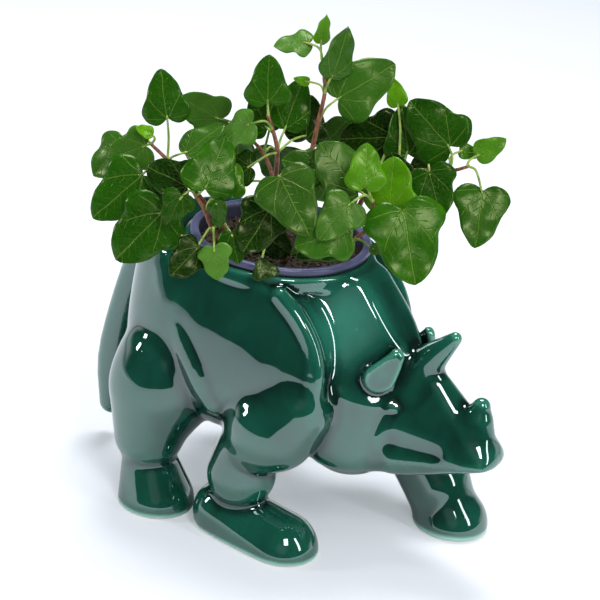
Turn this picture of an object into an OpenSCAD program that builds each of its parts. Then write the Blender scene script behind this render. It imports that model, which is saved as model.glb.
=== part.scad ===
// Planter in the shape of a standing rhinoceros: luted slip castings of glazed
// earthenware, a nursery pot that hangs by its rim in the well of the back, and
// an ivy plant. +X is forward, +Y is the animal's left, Z = 0 is the table.
// Places are measured from the foot of the pot's axis, and the finished pieces are
// moved so that the origin lies under the middle of the whole.

/* [Back and belly] */
// Height of the lip that the pot's rim rests on
lip_z = 188; // [182:1:198]
// Widest half of the barrel
flank_half = 77; // [72:1:79]
// Height at which the barrel is widest
waist_z = 110; // [106:1:114]
// Height of the belly above the table
belly_z = 54; // [51:1:60]
// Lean of the flanks in degrees
flank_lean = 20; // [16:1:22]
// Distance from the pot's axis back to the rump
rump_back = 91; // [86:1:98]
// Radius of the rump's corners
rump_round = 46; // [36:1:54]
// Half width of a thigh
thigh_w = 37; // [35:1:39]

/* [Shoulders, neck and breast] */
// Radius of the shoulder plate's front edge, seen from the side
plate_r = 68; // [64:1:72]
// Radius of the rolled hem along that edge
hem_r = 3.5; // [3:0.5:5]
// Reach of the neck's crest in front of the pot's axis
crest_x = 76; // [73:1:79]
// Half length of the breast
breast_l = 42; // [39:1:45]
// Half width of the breast
breast_w = 53; // [49:1:56]
// Half height of the breast
breast_h = 37; // [34:1:38]
// Radius of a shoulder cap
cap_r = 30; // [28:0.5:32]

/* [Head] */
// Half width of the head at the ridge of the cheek
cheek_w = 30; // [28:0.5:32]
// Height of the forehead
brow_z = 137; // [134:1:139]
// Reach of the nose in front of the pot's axis
nose_x = 178; // [174:1:183]
// Radius of the snout
snout_r = 15.5; // [14:0.5:17]
// Length of the brow horn
horn_l = 36; // [28:1:46]
// Radius of the brow horn at its root
horn_r = 14; // [12:0.5:15]
// Height of the nose horn
stub_h = 18.5; // [16:0.5:23]
// Distance between the round ends of an ear
ear_h = 22; // [19:0.5:26]

/* [Legs and tail] */
// Distance of the right forefoot from the middle plane
right_fore_track = 57; // [54:1:60]
// Distance of the left forefoot from the middle plane
left_fore_track = 50; // [47:1:53]
// Distance of the hind feet from the middle plane
hind_track = 60; // [57:1:63]
// Radius of a foot's toe
foot_r = 25; // [23:0.5:27]
// Radius of a leg above the foot
ankle_r = 23; // [21:0.5:24.5]
// Place of the right forefoot's toe along the body
right_fore_x = 58; // [51:1:65]
// Place of the left forefoot's toe along the body
left_fore_x = 131; // [125:1:137]
// Place of the right hind foot's toe along the body
right_hind_x = -40; // [-46:1:-34]
// Place of the left hind foot's toe along the body
left_hind_x = -26; // [-32:1:-20]
// Radius of the tail
tail_r = 10.5; // [8.5:0.5:12]
// Height of the tail's tip above the table
tail_tip_z = 17; // [10:1:28]

/* [Nursery pot] */
// Diameter of the rim
rim_d = 121; // [118:0.5:123]
// Height of the rim above the lip
rim_h = 5; // [4:0.5:8]
// Height of the pot below its rim
pot_h = 98; // [85:1:104]
// Outer diameter under the rim
pot_d = 112; // [106:0.5:113]
// Outer diameter of the base
pot_base_d = 84; // [76:1:96]
// Thickness of the pot's wall
pot_wall = 1.6; // [1.2:0.1:2.5]
// Diameter of a drain hole
drain_d = 9; // [6:0.5:12]
// Clearance between pot and well
well_gap = 1.5; // [0.8:0.1:2]
// Clearance between rim and lip, and between potting mix and pot
seat_gap = 0.2; // [0.1:0.05:0.3]
// Drop from the rim's top to the potting mix
soil_drop = 9; // [6:0.5:14]

/* [Ivy] */
// Thickness of a leaf
leaf_t = 1; // [0.8:0.1:1.4]
// Width of a leaf as a share of its length
leaf_width = 0.98; // [0.9:0.02:1.04]
// Diameter of a woody stem
stem_d = 3.2; // [2.6:0.2:4]
// Diameter of a leaf stalk
stalk_d = 1.8; // [1.4:0.1:2.2]

/* [Hidden] */
far = 400;
glaze = [0.05, 0.36, 0.26];
glaze_edge = [0.10, 0.45, 0.34];
plastic = [0.23, 0.24, 0.36];
peat = [0.16, 0.11, 0.08];
leaf_green = [0.16, 0.42, 0.12];

// Sizes of the grid that each casting's surface is drawn on
torso_cell = 7.4;
head_cell = 6;
leg_cell = 8;
tail_cell = 6.4;
horn_cell = 4.6;
ear_cell = 3.5;

// Places that follow from the sizes above
well_r = pot_d / 2 + well_gap;
lip_w = 5;
collar_lean = 6;
lip_r = well_r + lip_w;
rim_z = lip_z + seat_gap;
pot_z = rim_z - pot_h;
well_floor = pot_z - 4;
soil_z = rim_z + rim_h - soil_drop;
soil_h = soil_z - pot_z - pot_wall - seat_gap;
taper_len = 172;
taper_x = -20;
plate_c = [6, 0, lip_z - plate_r];
breast_c = [78, 0, 84];
cheek_c = [104, -cheek_w, 89];
horn_root = [116, 0, brow_z - 7];
stub_root = [nose_x - 23, 0, 102];
ear_c = [102, -28, brow_z - 1];
ear_out = unit([0.62, -0.78, 0]);
ear_up = unit([0.415, 0.328, 0.848]);
ear_across = cross(ear_out, ear_up);

// Curves of the rolled forms: each row is a place and a radius
hem_stations = [[63, 0.97, 58], [46, 0.97, 59.5], [29, 0.98, 60], [12, 0.98, 61], [-2, 0.93, 62], [-9, 0.85, 62]];
hem_line = smooth([for (h = hem_stations) let (reach = plate_r * h[1])
    [plate_c.x + reach * cos(h[0]), -h[2], plate_c.z + reach * sin(h[0]), hem_r]]);
right_fore_line = smooth([
    [right_fore_x - 20, -right_fore_track, 86, ankle_r + 3], [right_fore_x - 33, -right_fore_track, 62, ankle_r - 2],
    [right_fore_x - 36, -right_fore_track, 44, ankle_r],
]);
left_fore_line = smooth([
    [left_fore_x - 65, left_fore_track, 86, ankle_r + 4], [left_fore_x - 33, left_fore_track, 50, ankle_r + 1],
    [left_fore_x - 15, left_fore_track, 28, ankle_r],
]);
jaw_line = smooth([[100, -16, 74, 14], [120, -14, 76, 13], [nose_x - 10, -3, 88, 8]]);
horn_line = smooth([
    [horn_root.x, 0, horn_root.z, horn_r],
    [horn_root.x + 0.19 * horn_l, 0, horn_root.z + 0.47 * horn_l, horn_r * 0.75],
    [horn_root.x + 0.53 * horn_l, 0, horn_root.z + 0.86 * horn_l, horn_r * 0.28],
]);
tail_line = smooth([
    [3 - rump_back, 0, 172, tail_r + 5.5], [-15 - rump_back, 0, 142, tail_r + 0.5], [-26 - rump_back, 0, 100, tail_r],
    [-30 - rump_back, 0, 60, tail_r + 1.5], [-29 - rump_back, 0, tail_tip_z + tail_r - 1.5, tail_r - 1.5],
]);

// Middle of the whole, plant included, which goes to the origin
middle = [(nose_x - rump_back - 34) / 2 - 4, -6, 0];
module placed() translate(-middle) children();

// Seams where the castings are luted together
fore_seam = 46;
hind_seam = belly_z - 2;
right_gap_x = (right_hind_x + right_fore_x - 41) / 2;
head_seam = [106, 0, 139];
head_seam_lean = 9;
tail_seam = -rump_back - 2;
ear_seam_z = ear_c.z - 12;
ear_turn = 51.5;
horn_seam = horn_root + [1, 0, 10];
horn_seam_lean = 12;
stub_seam = stub_root + [-1, 0, 14.5];
stub_seam_lean = 28;

// Clay: distances to simple lumps, and ways to join them
function mean(v) = v * [for (i = v) 1] / len(v);
function blend(d, e, k) = let (h = max(k - abs(d - e), 0) / k) min(d, e) - h * h * k / 4;
function trim(d, e, k) = -blend(-d, -e, k);
function unit(v) = v / norm(v);
function roll(p, a, b, ra, rb) = let (
    length = norm(b - a),
    taper = (ra - rb) / length,
    along = (p - a) * (b - a) / length,
    off = sqrt(max((p - a) * (p - a) - along * along, 0)),
    ball = max(0, min(length, along - off * taper / sqrt(1 - taper * taper))))
    norm([off, along - ball]) - ra + taper * ball;

// Smooth curve through rows, and a finger of clay along it
function smooth(rows) = let (
    last = len(rows) - 1,
    r = concat([2 * rows[0] - rows[1]], rows, [2 * rows[last] - rows[last - 1]]))
    [for (i = [1:last]) for (f = i == last ? [0, 0.5, 1] : [0, 0.5])
        let (a = r[i - 1], b = r[i], c = r[i + 1], d = r[i + 2])
        b + 0.5 * f * (c - a + f * (2 * a - 5 * b + 4 * c - d + f * (3 * (b - c) + d - a)))];
function sweep(p, rows) = min([for (i = [1:len(rows) - 1]) let (a = rows[i - 1], b = rows[i])
    roll(p, [a.x, a.y, a.z], [b.x, b.y, b.z], a[3], b[3])]);
function egg(p, c, r) =
    let (q = [for (i = [0:2]) (p[i] - c[i]) / r[i]], k = norm([for (i = [0:2]) q[i] / r[i]]))
    k == 0 ? -min(r) : norm(q) * (norm(q) - 1) / k;
function tub(d, e, r) = norm([max(d + r, 0), max(e + r, 0)]) + min(max(d, e) + r, 0) - r;
function plane(p, c, n) = (p - c) * n / norm(n);
axes = [[1, 0, 0], [0, 1, 0], [0, 0, 1]];
squares = [for (i = [0:2]) for (a = [-1, 1]) for (b = [-1, 1]) [a * axes[i], b * axes[(i + 1) % 3]]];
function right_side(p) = [p.x, -abs(p.y), p.z];

// Barrel of leaning flanks, closed round at the rump and by an arc at the shoulders
function barrel(p) = let (
    y = abs(p.y) / sqrt(max(1 - pow((p.x - taper_x) / taper_len, 2), 0.2)),
    lean = (y - lip_r + 1) * cos(flank_lean) + (p.z - lip_z + 2) * sin(flank_lean),
    half = flank_half + max(-5, min(4, 0.07 * (p.x - 11))),
    over = p.z - waist_z,
    tall = over > 0 ? 170 : waist_z - belly_z,
    share = norm([y / half, over / tall]),
    steep = norm([y / half / half, over / tall / tall]),
    flank = trim(share * (share - 1) / max(steep, 0.000001), lean, 10),
    shell = trim(tub(flank, -rump_back - p.x, rump_round), p.z - lip_z, 9),
    arc = norm([max(p.x - plate_c.x, 0), p.z - plate_c.z]) - plate_r)
    trim(shell, arc, 7);

// Ring of clay round the well, under the lip
function collar(p) = let (
    cone = (norm([p.x, p.y]) - lip_r - (lip_z - p.z) * tan(collar_lean)) * cos(collar_lean))
    tub(cone, abs(p.z - lip_z + 5) - 5, 2);

// Neck: flat faces between the lip, the shoulder plates and the head
function neck(p) = let (
    q = right_side(p),
    side = plane(q, [crest_x, -17, lip_z - 6], [0.433, -0.793, 0.428]),
    wall = plane(q, [crest_x + 12, -45, 0], [0.8, -0.6, 0]),
    front = plane(q, [crest_x, 0, lip_z - 6], [0.754, 0, 0.657]),
    faces = trim(trim(side, wall, 14), front, 4),
    block = trim(trim(faces, p.z - lip_z + 1, 6), 88 - p.z, 20))
    trim(trim(block, 20 - p.x, 5), abs(p.y) - 50, 8);

// Barrel, neck, hem, breast, thighs and shoulder caps; lumps out of reach are passed over
function body(p) = let (
    q = right_side(p),
    back = blend(barrel(p), collar(p), 3),
    front = p.x < 0 ? back : blend(blend(back, neck(p), 18), sweep(q, hem_line), 6),
    chest = p.x < 20 ? front : blend(front, egg(p, breast_c, [breast_l, breast_w, breast_h]), 14),
    thighs = p.x > 20 ? chest : blend(chest, egg(q, [-47, -47, 92], [37, thigh_w, 45]), 6),
    cap = p.y < 0 ? roll(p, [42, -57, 86], [56, -54, 104], cap_r, cap_r - 6)
        : roll(p, [58, 57, 86], [72, 54, 104], cap_r, cap_r - 6))
    blend(thighs, cap, 6);

// Legs: a finger from hip or shoulder to the ankle, and a foot that widens to the sole
function foreleg(p, line, heel, heel_r, toe) = blend(sweep(p, line), roll(p, heel, toe, heel_r, foot_r), 6);
function hind_leg(p, y, toe_x, hip) = let (
    shank = roll(p, [hip, y * 0.9, 82], [toe_x - 10, y, 50], ankle_r + 10, ankle_r + 1),
    foot = roll(p, [toe_x - 10, y, 34], [toe_x, y, 2], foot_r - 8, foot_r + 1))
    blend(shank, foot, 4);
function right_legs(p) = let (toe = [right_fore_x, -right_fore_track, 0.5])
    blend(foreleg(p, right_fore_line, toe + [-46, 0, 11.5], foot_r - 4, toe), hind_leg(p, -hind_track, right_hind_x, -50), 1);
function left_legs(p) = let (toe = [left_fore_x, left_fore_track, 0.5])
    blend(foreleg(p, left_fore_line, toe + [-12, 0, 23.5], foot_r - 6, toe), hind_leg(p, hind_track, left_hind_x, -44), 1);
function legs(p) = p.y < 0 ? right_legs(p) : left_legs(p);

// Head: a wedge of flat cheeks, bridge and front, with jaw, brows, snout and the two horns
function skull(p) = let (
    q = right_side(p),
    cheek = plane(q, cheek_c, [0.186, -0.913, 0.363]),
    under = plane(q, cheek_c, [0.214, -0.758, -0.616]),
    bridge = plane(p, [130, 0, brow_z - 1], [0.684, 0, 0.73]),
    front = plane(p, [nose_x, 0, 98], [0.96, 0, 0.28]),
    faces = trim(trim(trim(cheek, under, 6), bridge, 9), p.z - brow_z, 8),
    wedge = trim(trim(faces, front, 20), 98 - p.x, 8),
    brow = roll(q, [110, -14, brow_z - 13], [146, -4, brow_z - 23], 4, 3),
    snout = roll(p, [nose_x - 19, 0, 95], [nose_x - 18, 0, 108], snout_r, snout_r - 4.5))
    blend(blend(blend(wedge, sweep(q, jaw_line), 6), brow, 5), snout, 8);
function horns(p, d) = let (
    ruff = egg(p, horn_root + [1, 0, 1], [17, 16, 7]),
    stub = roll(p, stub_root, stub_root + [5, 0, stub_h], 15, 6))
    blend(blend(blend(d, ruff, 3), sweep(p, horn_line), 4), stub, 6);
function ear(p) = let (
    off = right_side(p) - ear_c,
    u = off * ear_up,
    w = off * ear_across,
    t = off * ear_out,
    leaf = roll([u, w, 0], [-6, 0, 0], [ear_h - 10, 0, 0], 10.5, 6.5),
    shell = tub(leaf, abs(t + 0.012 * (u * u + w * w) - 1) - 4, 3))
    trim(shell, -egg([u, w, t], [0, 0, 10], [ear_h, 11.5, 9]), 2);

// The whole figure before the well is cut; lumps out of reach are passed over
leg_top = 122;
head_back = 76;
tail_front = 20 - rump_back + tail_r;
function clay(p) = let (
    standing = p.z > leg_top ? body(p) : blend(body(p), legs(p), 7),
    headed = p.x < head_back ? standing : blend(blend(standing, horns(p, skull(p)), 5), ear(p), 4))
    p.x > tail_front ? headed : blend(headed, sweep(p, tail_line), 8);

// Point of a grid cell that lies best on the clay's faces at the cell's cuts
function settle(cuts, low, high) = let (
    c = [for (i = [0:2]) mean([for (p = cuts) p[i]])],
    faces = [for (p = cuts) let (d = clay(p), g = [for (e = axes) clay(p + e / 4) - d] * 4)
        [g / norm(g), g * (p - c) / norm(g) - d]],
    m = [for (i = [0:2]) [for (j = [0:2]) (i == j ? 0.2 : 0) + mean([for (f = faces) f[0][i] * f[0][j]])]],
    r = [for (i = [0:2]) mean([for (f = faces) f[0][i] * f[1]])],
    q = c + [cross(m[1], m[2]) * r, cross(m[2], m[0]) * r, cross(m[0], m[1]) * r] / (m[0] * cross(m[1], m[2])))
    [for (i = [0:2]) max(low[i] * 0.9 + high[i] * 0.1, min(low[i] * 0.1 + high[i] * 0.9, q[i]))];

// Surface of the clay inside a box: one point for each grid cell that it crosses.
// The cells behind the split are longer.
module casting(low, high, cell, split = undef) {
    rear = split == undef ? 0 : ceil((split - low.x) / cell / 1.6);
    n = [for (i = [0:2]) i == 0 && rear > 0 ? rear + ceil((high.x - split) / cell) : ceil((high[i] - low[i]) / cell)];
    even = function (c, i) low[i] + (high[i] - low[i]) * c[i] / n[i];
    along = function (x) x < rear ? low.x + (split - low.x) * x / rear
        : split + (high.x - split) * (x - rear) / (n.x - rear);
    place = function (c) [rear > 0 ? along(c.x) : even(c, 0), even(c, 1), even(c, 2)];
    edge = function (c) min(c) == 0 || max([for (i = [0:2]) c[i] - n[i]]) == 0;
    raw = [for (i = [0:n.x]) [for (j = [0:n.y]) [for (k = [0:n.z])
        edge([i, j, k]) ? cell : clay(place([i, j, k]))]]];
    out = function (c) raw[c.x][c.y][c.z] >= 0;
    pinched = function (c) out(c) && !edge(c)
        && max([for (s = squares) !out(c + s[0]) && !out(c + s[1]) && out(c + s[0] + s[1]) ? 1 : 0]) > 0;
    depth = [for (i = [0:n.x]) [for (j = [0:n.y]) [for (k = [0:n.z])
        pinched([i, j, k]) ? -cell / 20 : raw[i][j][k]]]];
    at = function (c) depth[c.x][c.y][c.z];
    corners = [for (i = [0:1]) for (j = [0:1]) for (k = [0:1]) [i, j, k]];
    sides = [for (a = corners) for (b = corners) if (norm(b - a) == 1 && b * [4, 2, 1] > a * [4, 2, 1]) [a, b]];
    crossed = function (o) let (inside = [for (c = corners) if (at(o + c) < 0) 1]) len(inside) % 8 > 0;
    cells = [for (i = [0:n.x - 1]) for (j = [0:n.y - 1]) for (k = [0:n.z - 1])
        if (crossed([i, j, k])) [i, j, k]];
    points = [for (o = cells)
        let (cuts = [for (s = sides) let (a = at(o + s[0]), b = at(o + s[1]))
            if ((a < 0) != (b < 0)) place(o + s[0] + (s[1] - s[0]) * a / (a - b))])
        settle(cuts, place(o), place(o + [1, 1, 1]))];
    key = function (o) (o.x * n.y + o.y) * n.z + o.z;
    keys = [for (o = cells) key(o)];
    find = function (k, a, b) let (m = floor((a + b) / 2))
        keys[m] == k ? m : keys[m] < k ? find(k, m + 1, b) : find(k, a, m - 1);
    index = function (o) find(key(o), 0, len(keys) - 1);
    faces = [for (o = cells) for (i = [0:2])
        let (d = axes[i], e = axes[(i + 1) % 3], f = axes[(i + 2) % 3])
        if ((at(o) < 0) != (at(o + d) < 0) && o * e > 0 && o * f > 0)
        let (q = [index(o), index(o - e), index(o - e - f), index(o - f)])
        let (long = norm(points[q[0]] - points[q[2]]) > norm(points[q[1]] - points[q[3]]))
        for (t = long ? [[0, 1, 3], [1, 2, 3]] : [[0, 1, 2], [0, 2, 3]])
        at(o) < 0 ? [q[t[2]], q[t[1]], q[t[0]]] : [q[t[0]], q[t[1]], q[t[2]]]];
    polyhedron(points, faces);
}

// Half of space in front of a seam through c, which leans back at the top
module ahead_of(c, lean) {
    translate(c) rotate([0, -lean, 0]) translate([0, -far / 2, -far / 2]) cube(far);
}

// Space that a leg takes below its seam, outside the inner face
module leg_space(side, from, to, track, seam, inner) {
    width = track + foot_r + 8 - inner;
    translate([from, side > 0 ? inner : -inner - width, 0]) cube([to - from, width, seam]);
}
module right_fore_space()
    leg_space(-1, right_gap_x, right_fore_x + foot_r + 8, right_fore_track, fore_seam, 28);
module left_fore_space()
    leg_space(1, left_fore_x - 70, left_fore_x + foot_r + 8, left_fore_track, fore_seam, 20);
module right_hind_space() leg_space(-1, right_hind_x - 46, right_gap_x, hind_track, hind_seam, 26);
module left_hind_space() leg_space(1, left_hind_x - 46, left_hind_x + foot_r + 8, hind_track, hind_seam, 26);

// Space in front of the neck that the head takes
module head_space() intersection() {
    ahead_of(head_seam, head_seam_lean);
    translate([0, -34, 57]) cube([far, 68, far]);
}

// Space that the right ear takes above the nape
module ear_space() {
    translate([ear_c.x, ear_c.y, ear_seam_z]) rotate([0, 0, -ear_turn])
        translate([-1.5, -17, 0]) cube([40, 31, ear_h + 30]);
}
module horn_space() {
    translate(horn_seam) rotate([0, horn_seam_lean, 0])
        translate([-24, -horn_r - 2, 0]) cube([60, 2 * horn_r + 4, horn_l + 40]);
}
module stub_space() {
    translate(stub_seam) rotate([0, stub_seam_lean, 0]) translate([-10, -16, 0]) cube([40, 32, stub_h + 20]);
}
module leg_casting(toe, back, seam) {
    casting(toe - [back, 36, 8], [toe.x + foot_r + 10, toe.y + 36, seam + 12], leg_cell);
}

module torso() color(glaze) placed() difference() {
    casting([tail_seam - 14, -96, 20], [134, 96, lip_z + 12], torso_cell, plate_c.x);
    right_fore_space();
    left_fore_space();
    right_hind_space();
    left_hind_space();
    head_space();
    ear_space();
    mirror([0, 1, 0]) ear_space();
    translate([tail_seam - far, -far / 2, -far / 2]) cube(far);
    translate([-far / 2, -far / 2, lip_z]) cube(far);
    translate([0, 0, well_floor]) cylinder(h = far, r = well_r, $fn = 96);
}
module head() color(glaze) placed() difference() {
    intersection() {
        casting([94, -42, 52], [nose_x + 12, 42, brow_z + 19], head_cell);
        head_space();
    }
    ear_space();
    mirror([0, 1, 0]) ear_space();
    horn_space();
    stub_space();
}
module ear_piece() intersection() {
    casting(ear_c - [28, 26, 22], ear_c + [24, 24, ear_h + 6], ear_cell);
    ear_space();
}
module right_ear() color(glaze_edge) placed() ear_piece();
module left_ear() color(glaze_edge) placed() mirror([0, 1, 0]) ear_piece();
module brow_horn() color(glaze_edge) placed() intersection() {
    casting(horn_root - [24, 24, 0], horn_root + [0.53 * horn_l + 16, 24, 0.86 * horn_l + 16], horn_cell);
    horn_space();
    head_space();
}
module nose_horn() color(glaze_edge) placed() intersection() {
    casting(stub_root - [18, 20, 10], stub_root + [30, 20, stub_h + 14], ear_cell);
    stub_space();
}
module tail() color(glaze_edge) placed() intersection() {
    casting([tail_seam - 44, -30, tail_tip_z - 12], [tail_seam + 12, 30, lip_z + 8], tail_cell);
    translate([tail_seam - far, -far / 2, -far / 2]) cube(far);
}
module right_foreleg() color(glaze) placed() intersection() {
    leg_casting([right_fore_x, -right_fore_track, 0], 86, fore_seam);
    right_fore_space();
}
module left_foreleg() color(glaze) placed() intersection() {
    leg_casting([left_fore_x, left_fore_track, 0], 76, fore_seam);
    left_fore_space();
}
module right_hind_leg() color(glaze) placed() intersection() {
    leg_casting([right_hind_x, -hind_track, 0], 50, hind_seam);
    right_hind_space();
}
module left_hind_leg() color(glaze) placed() intersection() {
    leg_casting([left_hind_x, hind_track, 0], 50, hind_seam);
    left_hind_space();
}

// Nursery pot: tapered wall, rolled rim, drain holes in the base
module nursery_pot() color(plastic) placed() difference() {
    union() {
        translate([0, 0, pot_z]) cylinder(h = pot_h, d1 = pot_base_d, d2 = pot_d, $fn = 96);
        translate([0, 0, rim_z]) rotate_extrude($fn = 96) pot_rim();
    }
    translate([0, 0, pot_z + pot_wall])
        cylinder(h = pot_h - pot_wall, d1 = pot_base_d - 2 * pot_wall, d2 = pot_d - 2 * pot_wall, $fn = 96);
    translate([0, 0, rim_z - 0.01]) cylinder(h = rim_h + 1, d = pot_d - 2 * pot_wall, $fn = 96);
    for (a = [30:60:330])
        rotate([0, 0, a]) translate([pot_base_d / 2 - drain_d, 0, pot_z - 1])
            cylinder(h = pot_wall + 2, d = drain_d, $fn = 32);
}
module pot_rim() {
    bead = rim_h / 2;
    translate([pot_d / 2 - pot_wall, 0]) square([rim_d / 2 - pot_d / 2 + pot_wall - bead, rim_h]);
    translate([rim_d / 2 - bead, bead]) circle(bead, $fn = 32);
}

// Potting mix and root ball in one, a little clear of the pot
function pot_inner_r(z) = let (rise = (z - pot_z - pot_wall) / (pot_h - pot_wall))
    (pot_base_d + (pot_d - pot_base_d) * rise) / 2 - pot_wall - seat_gap;
module potting_mix() color(peat) placed()
    translate([0, 0, soil_z - soil_h])
        cylinder(h = soil_h, r1 = pot_inner_r(soil_z - soil_h), r2 = pot_inner_r(soil_z), $fn = 96);

// Ivy: each vine has a woody stem and leaves on stalks. Places are right, away and up
// from the middle of the lip, as seen with the animal turned by plant_turn.
plant_turn = 27;
soil_up = soil_z - lip_z;
function ring(c, t, up, r, sides) = let (s = unit(cross(t, up)), u = cross(t, s))
    [for (i = [0:sides - 1]) c + r * (cos(360 * i / sides) * s + sin(360 * i / sides) * u)];

// Round tube along a path; its first ring lies flat where it starts from the ground
module tube(path, d, sides, grounded = false) {
    last = len(path) - 1;
    way = path[last] - path[0];
    up = grounded ? [0, 1, 0] : abs(way.z) > norm([way.x, way.y]) ? [1, 0, 0] : [0, 0, 1];
    along = [for (i = [0:last]) grounded && i == 0 ? [0, 0, 1]
        : unit(path[min(i + 1, last)] - path[max(i - 1, 0)])];
    points = [for (i = [0:last]) each ring(path[i], along[i], up, d / 2, sides)];
    walls = [for (i = [0:last - 1]) for (j = [0:sides - 1])
        let (a = i * sides + j, b = i * sides + (j + 1) % sides)
        each [[a, b + sides, b], [a, a + sides, b + sides]]];
    ends = [for (j = [1:sides - 2])
        each [[0, j, j + 1], [last * sides, last * sides + j + 1, last * sides + j]]];
    polyhedron(points, concat(walls, ends));
}

// Leaf sections from base to tip: middle, half width and setback of the edge, as shares of its length
leaf_sections = [
    [0, 0.22, -0.12], [0.2, 0.47, 0.1], [0.42, 0.44, 0.4], [0.7, 0.22, 0.68], [1, 0.03, 1],
];
leaf_cup = 0.14;
leaf_droop = 0.12;
module leaf(length) {
    last = len(leaf_sections) - 1;
    points = [for (face = [-0.5, 0.5]) for (s = leaf_sections) for (side = [-1, 0, 1])
        let (half = s[1] * leaf_width, t = side == 0 ? s[0] : s[2])
        [side * half * length, (leaf_droop * t * t - leaf_cup * abs(side) * half) * length + face * leaf_t, t * length]];
    back = 3 * len(leaf_sections);
    blades = [for (i = [0:last - 1]) for (j = [0, 1])
        let (a = 3 * i + j, b = a + 3, c = a + 4, d = a + 1)
        each [[a, b, c], [a, c, d], [a + back, c + back, b + back], [a + back, d + back, c + back]]];
    rims = [for (i = [0:last - 1]) let (l = 3 * i, r = 3 * i + 2)
        each [[l, l + back, l + 3 + back], [l, l + 3 + back, l + 3],
            [r, r + 3, r + 3 + back], [r, r + 3 + back, r + back]]];
    tips = [for (j = [0, 1]) let (a = j, z = 3 * last + j)
        each [[a, a + 1, a + 1 + back], [a, a + 1 + back, a + back],
            [z + 1, z, z + back], [z + 1, z + back, z + 1 + back]]];
    polyhedron(points, concat(blades, rims, tips));
}

// One vine: stem points, then leaves as stem point, place, length, spin, lean and turn
module vine(stem, leaves) color(leaf_green) placed() translate([0, 0, lip_z]) rotate([0, 0, plant_turn]) {
    path = concat([[stem[0].x, stem[0].y, soil_up]], [for (i = [1:len(stem) - 1]) stem[i]]);
    tube(path, stem_d, 6, grounded = true);
    for (l = leaves) {
        from = path[l[0]] - unit(path[l[0]] - path[l[0] - 1]) * stem_d / 2;
        to = [l[1], l[2], l[3]];
        tip = [sin(l[5]) * cos(l[6]), -sin(l[6]), cos(l[5]) * cos(l[6])];
        bend = (from + to) / 2 + [0, 0, norm(to - from) / 6] - tip * 2;
        tube([from, bend, to + tip * 3], stalk_d, 3);
        translate(to) rotate([0, l[5], 0]) rotate([l[6], 0, 0]) rotate([0, 0, l[7]]) leaf(l[4]);
    }
}
module left_vine() vine(
    [[-30, -8], [-50, -12, 22], [-65, -12, 38], [-80, -8, 50], [-92, -4, 58]],
    [
        [3, -82, 0, 74, 38, -15, -10, 0], [4, -90, -10, 66, 14, -70, 0, 30], [4, -94, -6, 56, 32, -115, 0, 20],
        [4, -112, 20, 45, 34, -140, 10, 40], [3, -93, -22, 42, 50, -135, 15, 20], [2, -77, -38, 24, 50, -140, 15, 15],
        [3, -68, -12, 56, 38, 45, -20, -50], [2, -63, -36, 44, 34, -75, -10, 15], [2, -74, -4, 28, 26, -150, 10, 0],
    ]);
module left_front_vine() vine(
    [[-34, -26], [-44, -38, 18], [-50, -42, 32], [-57, -44, 42]],
    [
        [3, -50, -48, 48, 44, 15, -30, 0], [3, -65, -50, 42, 24, -160, 15, 0], [2, -42, -50, 42, 22, 170, 10, 20],
        [1, -30, -58, 25, 24, 160, 25, 0], [1, -40, -66, 16, 24, 160, 40, 0], [1, -50, -62, 14, 30, -138, 40, 0],
    ]);
module middle_vine() vine(
    [[-8, 5], [-8, 2, 40], [-9, 0, 62], [-14, 3, 76], [-18, 5, 84]],
    [
        [4, -19, 5, 92, 36, -5, -5, 0], [2, -6, 20, 70, 42, 12, -15, -10], [2, 8, 34, 60, 34, 0, -15, 0],
        [2, -18, 32, 64, 28, -35, -20, 0], [3, -28, -4, 80, 34, -130, 0, 60], [2, -24, -16, 54, 26, -95, 0, 40],
        [1, -36, -30, 40, 24, 10, -20, 0],
    ]);
module top_vine() vine(
    [[12, 6], [12, 3, 45], [15, 0, 83], [17, 0, 106], [14, 2, 122]],
    [
        [4, 10, 5, 136, 22, 10, -10, 40], [3, 20, -8, 118, 40, 15, -10, 35], [2, 26, 8, 100, 50, 52, -5, -15],
        [4, 2, 24, 130, 26, -100, 0, 65], [3, 6, 10, 108, 12, -85, 0, 0],
    ]);
module right_vine() vine(
    [[42, 5], [52, 5, 38], [72, 2, 56], [92, -2, 63], [105, -4, 65], [116, -5, 70]],
    [
        [1, 66, 26, 72, 42, -100, 0, 10], [2, 76, 12, 66, 38, -15, -20, 0], [4, 102, 4, 78, 46, -50, -10, 10],
        [4, 98, 22, 62, 24, -110, 0, 10], [3, 90, -14, 66, 36, 155, 30, 0], [4, 108, 6, 76, 18, 95, 0, -30],
        [5, 119, -4, 77, 26, 55, -10, -10], [5, 126, -14, 58, 44, 180, 35, 0], [2, 66, 24, 94, 22, -20, -10, 0],
        [2, 74, -18, 62, 20, -35, -10, 0], [1, 42, -20, 54, 32, -75, -5, 20],
    ]);
module right_front_vine() vine(
    [[40, -24], [46, -30, 16], [56, -40, 34], [56, -46, 54]],
    [
        [2, 75, -50, 52, 56, 160, 30, -10], [2, 68, -34, 46, 38, -5, -20, -10], [3, 50, -56, 66, 32, -5, -20, 10],
        [3, 46, -40, 56, 46, -45, -10, 30], [3, 42, -60, 56, 36, -140, 30, 15], [1, 40, -64, 38, 38, -110, 15, 25],
        [1, 36, -56, 30, 36, -116, 15, 10], [1, 58, -52, 24, 14, 100, 0, 0],
    ]);
module front_vine() vine(
    [[5, -25], [2, -34, 20], [-2, -42, 36], [-4, -46, 52]],
    [
        [2, -8, -56, 44, 38, -155, 25, 0], [3, -4, -62, 68, 48, 140, 30, -15], [1, -14, -40, 20, 30, 115, 10, -15],
        [3, 20, -28, 62, 30, -80, -10, 30], [1, -12, -70, 8, 18, 95, 0, -30],
    ]);
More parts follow.
